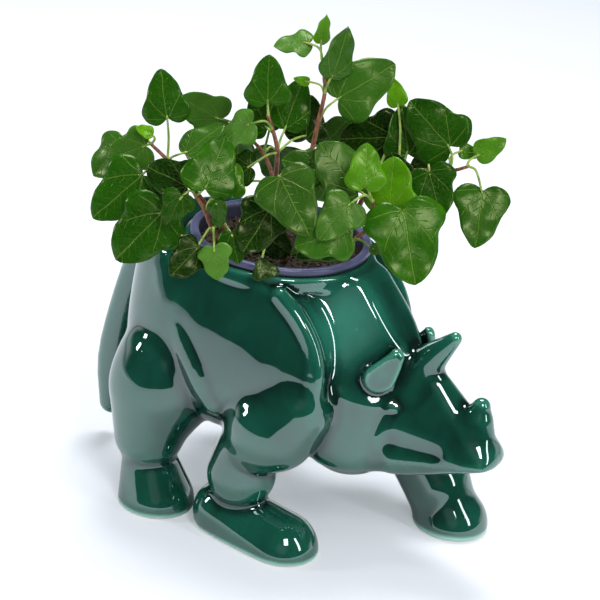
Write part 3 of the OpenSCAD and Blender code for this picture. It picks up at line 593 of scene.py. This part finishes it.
# Potted ivy: places are right, away and up from the middle of the lip, with the animal turned by PLANT_TURN.
# A leaf row is stem point, place, length, spin, lean, turn, then tone, paleness and blade shape; the tone is
# partly the leaf's own green and partly painted shade and light, low for leaves in shade and high for leaves
# in the light.
VINES = {
    "left_vine": (
        [(-30, -8, -3.8), (-50, -12, 22), (-65, -12, 38), (-80, -8, 50), (-92, -4, 58)],
        [(3, -82, 0, 74, 38, -15, -10, 0, 0.42, 0, 0), (4, -90, -10, 66, 14, -70, 0, 30, 0.9, 0, 2),
         (4, -94, -6, 56, 32, -115, 0, 20, 0.4, 0.4, 1), (4, -112, 20, 45, 34, -140, 10, 40, 0.35, 0.25, 1),
         (3, -93, -22, 42, 50, -135, 15, 20, 0.45, 0, 0), (2, -77, -38, 24, 50, -140, 15, 15, 0.35, 0, 1),
         (3, -68, -12, 56, 38, 45, -20, -50, 0.3, 0.3, 2), (2, -63, -36, 44, 34, -75, -10, 15, 0.15, 0, 1),
         (2, -74, -4, 28, 26, -150, 10, 0, 0.2, 0, 0)]),
    "left_front_vine": (
        [(-34, -26, -3.8), (-44, -38, 18), (-50, -42, 32), (-57, -44, 42)],
        [(3, -50, -48, 48, 44, 15, -30, 0, 0.5, 0, 0), (3, -65, -50, 42, 24, -160, 15, 0, 0.3, 0, 1),
         (2, -42, -50, 42, 22, 170, 10, 20, 0.35, 0, 2), (1, -30, -58, 25, 24, 160, 25, 0, 0.3, 0, 0),
         (1, -40, -66, 16, 24, 160, 40, 0, 0.3, 0.7, 1), (1, -50, -62, 14, 30, -138, 40, 0, 0.1, 0, 1)]),
    "middle_vine": (
        [(-8, 5, -3.8), (-8, 2, 40), (-9, 0, 62), (-14, 3, 76), (-18, 5, 84)],
        [(4, -19, 5, 92, 36, -5, -5, 0, 0.5, 0, 0), (2, -6, 20, 70, 42, 12, -15, -10, 0.42, 0, 2),
         (2, 8, 34, 60, 34, 0, -15, 0, 0.12, 0, 0), (2, -18, 32, 64, 28, -35, -20, 0, 0.3, 0, 1),
         (3, -28, -4, 80, 34, -130, 0, 60, 0.35, 0.6, 1), (2, -24, -16, 54, 26, -95, 0, 40, 0.15, 0, 1),
         (1, -36, -30, 40, 24, 10, -20, 0, 0.6, 0, 0)]),
    "top_vine": (
        [(12, 6, -3.8), (12, 3, 45), (15, 0, 83), (17, 0, 106), (14, 2, 122)],
        [(4, 10, 5, 136, 22, 10, -10, 40, 0.75, 0, 2), (3, 20, -8, 118, 40, 15, -10, 35, 0.35, 0.1, 2),
         (2, 26, 8, 100, 50, 52, -5, -15, 0.4, 0.25, 0), (4, 2, 24, 130, 26, -100, 0, 65, 0.4, 0.6, 1),
         (3, 6, 10, 108, 12, -85, 0, 0, 0.9, 0, 2)]),
    "right_vine": (
        [(42, 5, -3.8), (52, 5, 38), (72, 2, 56), (92, -2, 63), (105, -4, 65), (116, -5, 70)],
        [(1, 66, 26, 72, 42, -100, 0, 10, 0.1, 0, 1), (2, 76, 12, 66, 38, -15, -20, 0, 0.3, 0, 0),
         (4, 102, 4, 78, 46, -50, -10, 10, 0.32, 0, 1), (4, 98, 22, 62, 24, -110, 0, 10, 0.1, 0, 0),
         (3, 90, -14, 66, 36, 155, 30, 0, 0.3, 0, 1), (4, 108, 6, 76, 18, 95, 0, -30, 0.6, 0.1, 2),
         (5, 119, -4, 77, 26, 55, -10, -10, 0.65, 0.15, 2), (5, 126, -14, 58, 44, 180, 35, 0, 0.35, 0.1, 0),
         (2, 66, 24, 94, 22, -20, -10, 0, 0.85, 0, 2), (2, 74, -18, 62, 20, -35, -10, 0, 0.12, 0, 0),
         (1, 42, -20, 54, 32, -75, -5, 20, 0.3, 0.1, 1)]),
    "right_front_vine": (
        [(40, -24, -3.8), (46, -30, 16), (56, -40, 34), (56, -46, 54)],
        [(2, 75, -50, 52, 56, 160, 30, -10, 0.52, 0, 1), (2, 68, -34, 46, 38, -5, -20, -10, 0.72, 0, 1),
         (3, 50, -56, 66, 32, -5, -20, 10, 0.68, 0, 0), (3, 46, -40, 56, 46, -45, -10, 30, 0.28, 0.25, 1),
         (3, 42, -60, 56, 36, -140, 30, 15, 0.32, 0.35, 0), (1, 40, -64, 38, 38, -110, 15, 25, 0.45, 0.2, 1),
         (1, 36, -56, 30, 36, -116, 15, 10, 0.15, 0, 0), (1, 58, -52, 24, 14, 100, 0, 0, 0.5, 0, 2)]),
    "front_vine": (
        [(5, -25, -3.8), (2, -34, 20), (-2, -42, 36), (-4, -46, 52)],
        [(2, -8, -56, 44, 38, -155, 25, 0, 0.12, 0, 1), (3, -4, -62, 68, 48, 140, 30, -15, 0.2, 0.2, 0),
         (1, -14, -40, 20, 30, 115, 10, -15, 0.08, 0, 1), (3, 20, -28, 62, 30, -80, -10, 30, 0.25, 0.2, 1),
         (1, -12, -70, 8, 18, 95, 0, -30, 0.1, 0, 0)]),
    "rear_vine": (
        [(-5, 28, -3.8), (-10, 40, 25), (-20, 48, 42), (-34, 52, 52)],
        [(3, -40, 62, 48, 44, -150, -35, 180, 0.35, 0, 0), (2, -10, 60, 40, 42, 170, -35, 180, 0.3, 0, 1),
         (1, 14, 54, 30, 38, 150, -30, 180, 0.25, 0, 0), (3, -52, 46, 62, 36, -60, 10, 180, 0.4, 0, 1),
         (2, -16, 50, 66, 36, -10, 15, 180, 0.35, 0, 0), (1, 22, 48, 54, 32, 30, 15, 180, 0.3, 0, 1)]),
}

# Right half of each blade's outline, from stalk to tip, one unit long
BLADES = [
    [(0, 0), (0.10, -0.07), (0.24, -0.10), (0.40, -0.03), (0.50, 0.13), (0.46, 0.29), (0.38, 0.42),
     (0.33, 0.57), (0.28, 0.72), (0.18, 0.87), (0.07, 0.97), (0, 1)],
    [(0, 0), (0.10, -0.10), (0.25, -0.14), (0.42, -0.07), (0.55, 0.09), (0.52, 0.25), (0.42, 0.36),
     (0.39, 0.50), (0.36, 0.66), (0.25, 0.83), (0.10, 0.96), (0, 1)],
    [(0, 0), (0.10, -0.02), (0.22, 0), (0.33, 0.09), (0.38, 0.22), (0.35, 0.38), (0.30, 0.52),
     (0.26, 0.68), (0.18, 0.83), (0.07, 0.95), (0, 1)],
]


def leaf_blade(name, outline, wave):
    """A lobed blade in the XZ plane, one unit long, face towards -Y, with a closed thin edge."""
    outline = np.array(outline, float)
    thick, closed = 0.006, 0.004
    runs = np.linspace(0, len(outline) - 1, 28)
    padded = np.vstack([2 * outline[0] - outline[1], outline, 2 * outline[-1] - outline[-2]])

    def bow(t):
        i = min(int(t), len(outline) - 2)
        f = t - i
        a, b, c, d = padded[i:i + 4]
        curl = 2 * b + (c - a) * f + (2 * a - 5 * b + 4 * c - d) * f * f
        return 0.5 * (curl + (3 * b - a - 3 * c + d) * f ** 3)

    rim = np.array([bow(t) for t in runs])
    rim[:, 0] = np.maximum(rim[:, 0], closed)
    spine = np.linspace(0.0, 1.0, len(rim)) ** 1.25
    ribs = np.linspace(-1, 1, 13)
    verts, uvs, faces = [], [], []
    for layer in (-1, 1):
        for i in range(len(rim)):
            for r in ribs:
                x = rim[i, 0] * r
                t = spine[i] + (rim[i, 1] - spine[i]) * abs(r) ** 1.4
                fold = 0.16 * (math.sqrt(x * x + 0.0025) - 0.05) - 0.34 * x * x
                ripple = wave * abs(r) ** 2 * math.sin(11 * t + (2.2 if r > 0 else 0.4))
                verts.append((x, 0.12 * t * t - fold + ripple + layer * thick, t))
                uvs.append((x + 0.5, t + 0.15))
    n, half = len(ribs), len(rim) * len(ribs)
    for i in range(len(rim) - 1):
        for j in range(n - 1):
            a = i * n + j
            faces += [(a, a + 1, a + 1 + n, a + n), (a + half, a + n + half, a + n + 1 + half, a + 1 + half)]
        for a, b in ((i * n, i * n + n), (i * n + 2 * n - 1, i * n + n - 1)):
            faces.append((a, b, b + half, a + half))
    for j in range(n - 1):
        faces.append((j + 1, j, j + half, j + 1 + half))
        e = (len(rim) - 1) * n + j
        faces.append((e, e + 1, e + 1 + half, e + half))
    blade = new_piece(name, verts, faces)
    chart = blade.data.uv_layers.new(name="blade")
    for loop in blade.data.loops:
        chart.data[loop.index].uv = uvs[loop.vertex_index]
    back = blade.data.attributes.new("back", "FLOAT", "POINT")
    back.data.foreach_set("value", [0.0] * half + [1.0] * half)
    smooth(blade)
    return blade


def vine_tree():
    """Stems and stalks along the plan's edges, a blade on each leaf point."""
    sheet, (plan, shapes, puckers, pucker_size, sides) = growth_sheet("vine_growth", [
        ("Plan", "Geometry"), ("Blades", "Collection"), ("Puckers", "Float"), ("Pucker size", "Float"),
        ("Sides", "Int")], "Grown")
    named = sheet.named
    points, wood = sheet.outs("GeometryNodeSeparateGeometry", {"domain": "POINT"},
                              {0: plan, 1: named("leaf", "BOOLEAN")})
    line = sheet.add("GeometryNodeMeshToCurve", {}, {0: wood})
    line = sheet.add("GeometryNodeCurveSplineType", {"spline_type": "CATMULL_ROM"}, {0: line})
    line = sheet.add("GeometryNodeResampleCurve", {"mode": "EVALUATED"}, {0: line})
    ring = sheet.add("GeometryNodeCurvePrimitiveCircle", {}, {"Resolution": sides, "Radius": 1.0})
    tubes = sheet.add("GeometryNodeCurveToMesh", {}, {0: line, 1: ring, "Scale": named("thick", "FLOAT"),
                                                      "Fill Caps": True})
    shapes = sheet.add("GeometryNodeCollectionInfo", {}, {0: shapes, 1: True, 2: True})
    turn = sheet.add("FunctionNodeEulerToRotation", {}, {0: named("aim", "FLOAT_VECTOR")})
    grown = sheet.add("GeometryNodeInstanceOnPoints", {}, {
        0: points, "Instance": shapes, "Pick Instance": True, "Instance Index": named("blade_kind", "INT"),
        "Rotation": turn, "Scale": named("size", "FLOAT")})
    leaves = sheet.add("GeometryNodeRealizeInstances", {}, {0: grown})
    here = sheet.add("GeometryNodeInputPosition")
    lift = sheet.add("ShaderNodeTexNoise", {"noise_dimensions": "3D"},
                     {"Vector": here, "Scale": pucker_size, "Detail": 1.0}, 1)
    lift = sheet.add("ShaderNodeVectorMath", {"operation": "SUBTRACT"}, {0: lift, 1: (0.5, 0.5, 0.5)})
    lift = sheet.add("ShaderNodeVectorMath", {"operation": "SCALE"}, {0: lift, "Scale": puckers})
    leaves = sheet.add("GeometryNodeSetPosition", {}, {0: leaves, "Offset": lift})
    whole = sheet.add("GeometryNodeRealizeInstances", {}, {0: sheet.join(tubes, leaves)})
    whole = sheet.add("GeometryNodeSetShadeSmooth", {}, {0: whole})
    whole = sheet.add("GeometryNodeSetMaterial", {}, {0: whole, "Material": BARK})
    whole = sheet.add("GeometryNodeSetMaterial", {}, {0: whole, "Selection": named("leaf", "BOOLEAN"),
                                                      "Material": LEAF})
    sheet.add("NodeGroupOutput", {}, {0: whole})
    return sheet.tree


def unit(v):
    return v / np.sqrt(v.dot(v))


def grow(name, stem, rows, tree, blades):
    """One vine: a plan of edges and leaf points, grown by the tree and kept as a plain mesh."""
    turn_all = Matrix.Rotation(PLANT_TURN, 3, "Z")
    sunk, lapped = 1.6, 2.5
    verts, edges, data = [], [], []

    def path(points, thick, green):
        first = len(verts)
        for point, width in zip(points, thick):
            verts.append(point)
            data.append((width, green, False, (0, 0, 0), 0, 0, 0, 0))
        edges.extend((i, i + 1) for i in range(first, len(verts) - 1))

    stem = [np.array(s, float) for s in stem]
    path(stem, np.linspace(*STEM_THICK, len(stem)), 0.0)
    for k, right, away, up, length, spin, lean, turn, tone, pale, kind in rows:
        start = stem[k] - unit(stem[k] - stem[k - 1]) * sunk
        to = np.array([right, away, up], float)
        s, l = math.radians(spin), math.radians(lean)
        tip = np.array([math.sin(s) * math.cos(l), -math.sin(l), math.cos(s) * math.cos(l)])
        reach = to - start
        bend = (start + to) / 2 + (0, 0, np.sqrt(reach.dot(reach)) / 6) - tip * 2
        path([start, bend, to + tip * lapped], STALK_THICK, 1.0)
        aim = (turn_all @ Matrix.Rotation(s, 3, "Y") @ Matrix.Rotation(l, 3, "X")
               @ Matrix.Rotation(math.radians(turn), 3, "Z")).to_euler("XYZ")
        verts.append(to)
        data.append((0, 0, True, tuple(aim), length * LEAF_SHARE * MM, tone, pale, kind))
    world = place(np.array(verts) @ np.array(turn_all).T + (0, 0, LIP_Z))
    plan = bpy.data.meshes.new(name + "_plan")
    plan.from_pydata([tuple(v) for v in world], edges, [])
    columns = list(zip(*data))
    for title, kind, column in (("thick", "FLOAT", 0), ("green", "FLOAT", 1), ("leaf", "BOOLEAN", 2),
                                ("size", "FLOAT", 4), ("tone", "FLOAT", 5), ("pale", "FLOAT", 6),
                                ("blade_kind", "INT", 7)):
        scale = MM if title == "thick" else 1
        values = [v * scale if kind == "FLOAT" else v for v in columns[column]]
        plan.attributes.new(title, kind, "POINT").data.foreach_set("value", values)
    plan.attributes.new("aim", "FLOAT_VECTOR", "POINT").data.foreach_set("vector", np.ravel(columns[3]))
    sketch = bpy.data.objects.new(name + "_plan", plan)
    bpy.context.scene.collection.objects.link(sketch)
    mesh = grown_mesh(sketch, tree, {"Blades": blades, "Puckers": 0.0022, "Pucker size": 75.0, "Sides": 8})
    mesh.name = name + "_grown"
    bpy.data.objects.remove(sketch)
    vine = bpy.data.objects.new(name + "_grown", mesh)
    bpy.context.scene.collection.objects.link(vine)
    return vine


def ivy():
    blades = bpy.data.collections.new("ivy_blades")
    shapes = [leaf_blade("ivy_blade_%d" % i, outline, 0.034) for i, outline in enumerate(BLADES)]
    for shape in shapes:
        blades.objects.link(shape)
        bpy.context.scene.collection.objects.unlink(shape)
    tree = vine_tree()
    for name, (stem, rows) in VINES.items():
        vine = grow(name, stem, rows, tree, blades)
        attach(vine, "potted_ivy")
        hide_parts(name)
    for shape in shapes:
        bpy.data.objects.remove(shape)


def lathe(name, profile, steps, material):
    """Closed ring from a closed profile of radius and height."""
    profile = np.array(profile, float)
    n = len(profile)
    angles = np.arange(steps) * 2 * math.pi / steps
    verts = [(r * math.cos(a), r * math.sin(a), z) for a in angles for r, z in profile]
    faces = []
    for i in range(steps):
        k = (i + 1) % steps
        for j in range(n):
            m = (j + 1) % n
            faces.append((i * n + j, k * n + j, k * n + m, i * n + m))
    piece = new_piece(name, place(verts), faces, material)
    face_outward(piece)
    return piece


def nursery_pot():
    """Thin tapered wall, stepped under a rolled rim, with a ring of drain holes in the base."""
    outer, inner, base, thick = 56.0, 54.4, 42.0, 1.6
    rise = np.linspace(0, 1, 7)
    wall_out = [(base + (outer - base) * t, POT_Z + (RIM_Z - POT_Z) * t) for t in rise]
    rim = [(r, RIM_Z + h) for r, h in (
        (56.6, 0), (59.4, 0), (60.2, 0.5), (60.5, 1.4), (60.5, 3.2), (60.1, 4.3), (59.2, 4.9), (58.2, 5.0),
        (56.4, 4.8), (55.0, 4.2), (54.5, 3.2))]
    wall_in = [(base - thick + (inner - base + thick) * t, POT_Z + thick + (RIM_Z - POT_Z - thick) * t)
               for t in rise[::-1]]
    hub = [(HUB, POT_Z + thick), (HUB, POT_Z)]
    pot = lathe("nursery_pot_turned", wall_out + rim + wall_in + hub, 120, PLASTIC)
    hole, ring, depth = 0.0045, 33.0, 0.012
    drills = bmesh.new()
    for k in range(6):
        a = math.radians(30 + 60 * k)
        spot = place([ring * math.cos(a), ring * math.sin(a), POT_Z])
        bmesh.ops.create_cone(drills, cap_ends=True, segments=32, radius1=hole, radius2=hole, depth=depth,
                              matrix=Matrix.Translation(Vector(spot)))
    cutter_mesh = bpy.data.meshes.new("drain_drills")
    drills.to_mesh(cutter_mesh)
    drills.free()
    cutter = bpy.data.objects.new("drain_drills", cutter_mesh)
    bpy.context.scene.collection.objects.link(cutter)
    cut = pot.modifiers.new("drain", "BOOLEAN")
    cut.object, cut.operation, cut.solver = cutter, "DIFFERENCE", "EXACT"
    mesh = plain_mesh(pot)
    pot.modifiers.remove(cut)
    pot.data = mesh
    bpy.data.objects.remove(cutter)
    smooth(pot)
    mesh.set_sharp_from_angle(angle=math.radians(40))
    return pot


def crumb_tree():
    """Crumbs of peat on the faces that are marked as the top."""
    sheet, (ball, density, size, seed) = growth_sheet("peat_crumbs", [
        ("Ball", "Geometry"), ("Crumbs per area", "Float"), ("Crumb size", "Float"), ("Seed", "Int")], "Heap")
    spots = sheet.add("GeometryNodeDistributePointsOnFaces", {}, {
        0: ball, "Selection": sheet.named("top", "BOOLEAN"), "Density": density, "Seed": seed})
    crumb = sheet.add("GeometryNodeMeshIcoSphere", {}, {"Radius": size, "Subdivisions": 1})
    turn = sheet.add("FunctionNodeRandomValue", {"data_type": "FLOAT_VECTOR"},
                     {0: (0.0, 0.0, 0.0), 1: (6.28, 6.28, 6.28), "Seed": 7})
    grade = sheet.add("FunctionNodeRandomValue", {"data_type": "FLOAT_VECTOR"},
                      {0: (0.35, 0.3, 0.2), 1: (1.0, 0.8, 0.5), "Seed": 11})
    crumbs = sheet.add("GeometryNodeInstanceOnPoints", {}, {0: spots, "Instance": crumb, "Rotation": turn,
                                                            "Scale": grade})
    whole = sheet.add("GeometryNodeRealizeInstances", {}, {0: sheet.join(ball, crumbs)})
    whole = sheet.add("GeometryNodeSetMaterial", {}, {0: whole, "Material": PEAT})
    sheet.add("NodeGroupOutput", {}, {0: whole})
    return sheet.tree


def potting_mix():
    """Root ball with a crumbly top."""
    low, high = POT_Z + 1.8, SOIL_Z - 1.2
    wall = [(40.3, low), (42.9, low + 18), (45.5, low + 36), (48.1, low + 54), (50.7, low + 72),
            (53.5, high - 1)]
    crown = [(r, high + 0.5 * math.sin(r * 0.31)) for r in (50, 44, 38, 32, 26, 20, 14, 8, 3)]
    heap = lathe("potting_mix_heap", [(HUB, low)] + wall + crown + [(HUB, high)], 72, PEAT)
    flat = [abs(f.normal.z) > 0.8 and f.center.z > high * MM - 0.004 for f in heap.data.polygons]
    heap.data.attributes.new("top", "BOOLEAN", "FACE").data.foreach_set("value", flat)
    heap.data = grown_mesh(heap, crumb_tree(), {"Crumbs per area": 90000.0, "Crumb size": 0.0026, "Seed": 5})
    return heap


# Figure, pot and plant
skin = glazed_skin()
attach(skin, "planter")
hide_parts(*CERAMIC)
pot = nursery_pot()
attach(pot, "potted_ivy")
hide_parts("nursery_pot")
heap = potting_mix()
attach(heap, "potted_ivy")
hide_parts("potting_mix")
ivy()


# Camera: its azimuth, height and roll round the figure, then the point it aims at
scene = bpy.context.scene
azimuth, height, tilt = math.radians(27.3), math.radians(24.1), math.radians(7.1)
ahead = Vector((math.sin(azimuth), -math.cos(azimuth), 0))
level = Vector((math.cos(azimuth), math.sin(azimuth), 0))
back = Vector((math.sin(azimuth) * math.cos(height), -math.cos(azimuth) * math.cos(height),
               math.sin(height)))
rise = back.cross(level)
right = level * math.cos(tilt) + rise * math.sin(tilt)
top = rise * math.cos(tilt) - level * math.sin(tilt)
camera = bpy.data.objects.new("camera", bpy.data.cameras.new("camera"))
scene.collection.objects.link(camera)
camera.data.sensor_width, camera.data.lens = 36.0, 132.0
camera.data.clip_start, camera.data.clip_end = 0.05, 50.0
aim, distance = Vector((-0.0165, 0.033, 0.137)), 1.496
turned = Matrix((right, top, back)).transposed().to_4x4()
camera.matrix_world = Matrix.Translation(aim + back * distance) @ turned
scene.camera = camera
scene.view_settings.view_transform = "Standard"


# White floor, studio and light; metres that the floor reaches ahead and to the other sides
FLOOR_AHEAD, FLOOR_REACH = 0.95, 6


def blank_sheet(owner):
    """The emptied sheet of a material or world, and whether a ray is the camera's or comes off a gloss."""
    owner.use_nodes = True
    owner.node_tree.nodes.clear()
    sheet = Sheet(owner.node_tree)
    seen = sheet.add("ShaderNodeLightPath", out="Is Camera Ray")
    return sheet, seen, sheet.add("ShaderNodeLightPath", out="Is Glossy Ray")


def white_floor():
    """Pale paper that ends a little ahead of the figure."""
    finish = bpy.data.materials.new("white_floor")
    sheet, seen, _ = blank_sheet(finish)
    paper = sheet.add("ShaderNodeBsdfDiffuse", {}, {"Color": (0.80, 0.82, 0.89, 1)})
    glow = sheet.add("ShaderNodeEmission", {}, {"Color": (0.88, 0.96, 1.0, 1), "Strength": 1.0})
    mixed = sheet.add("ShaderNodeMixShader", {}, {0: seen * 0.3, 1: paper, 2: glow})
    sheet.add("ShaderNodeOutputMaterial", {}, {0: mixed})
    near, far, wide = ahead * FLOOR_AHEAD, ahead * FLOOR_REACH, level * FLOOR_REACH
    floor = new_piece("floor", [near - wide, near + wide, wide - far, -wide - far], [(0, 1, 2, 3)], finish)


def studio_world():
    """White to the camera, dark to the gloss but for a low backdrop and a dim panel, grey to the rest."""
    world = bpy.data.worlds.new("studio")
    scene.world = world
    sheet, seen, glossy = blank_sheet(world)
    way = sheet.add("ShaderNodeTexCoord")

    def towards(direction):
        return sheet.add("ShaderNodeVectorMath", {"operation": "DOT_PRODUCT"}, {0: way, 1: direction}, 1)

    up = sheet.parts(way)[2]
    backdrop = towards(-ahead).ramp(0.0, 0.35) * up.ramp(0.05, 0.22, 1.0, 0.0)
    panel = towards((0.446, -0.775, 0.446)).ramp(0.93, 0.995)
    reflected = 0.03 + backdrop * 0.95 + panel * 0.16
    strength = seen + glossy * reflected + (1 - seen) * (1 - glossy) * 0.5
    glow = sheet.add("ShaderNodeBackground", {}, {"Color": (0.96, 0.98, 1.0, 1), "Strength": strength})
    sheet.add("ShaderNodeOutputWorld", {}, {0: glow})


def softboxes():
    """Four lamps that face the middle of the figure: place, size and power."""
    middle = Vector((0, 0, 0.12))
    for name, stand, size, power in (
            ("key_softbox", (0.9, -0.9, 1.3), (0.35, 0.6), 12.0),
            ("side_softbox", (1.45, -0.05, 0.85), (0.2, 1.1), 7.0),
            ("fill_softbox", (-1.5, -0.9, 0.75), (0.2, 0.3), 10.0),
            ("top_softbox", (-0.3, 0.6, 1.8), (0.8, 0.5), 28.0)):
        lamp = bpy.data.lights.new(name, "AREA")
        lamp.shape, lamp.energy = "RECTANGLE", power
        lamp.size, lamp.size_y = size
        holder = bpy.data.objects.new(name, lamp)
        scene.collection.objects.link(holder)
        holder.location = stand
        holder.rotation_euler = (middle - Vector(stand)).to_track_quat("-Z", "Y").to_euler()


white_floor()
studio_world()
softboxes()
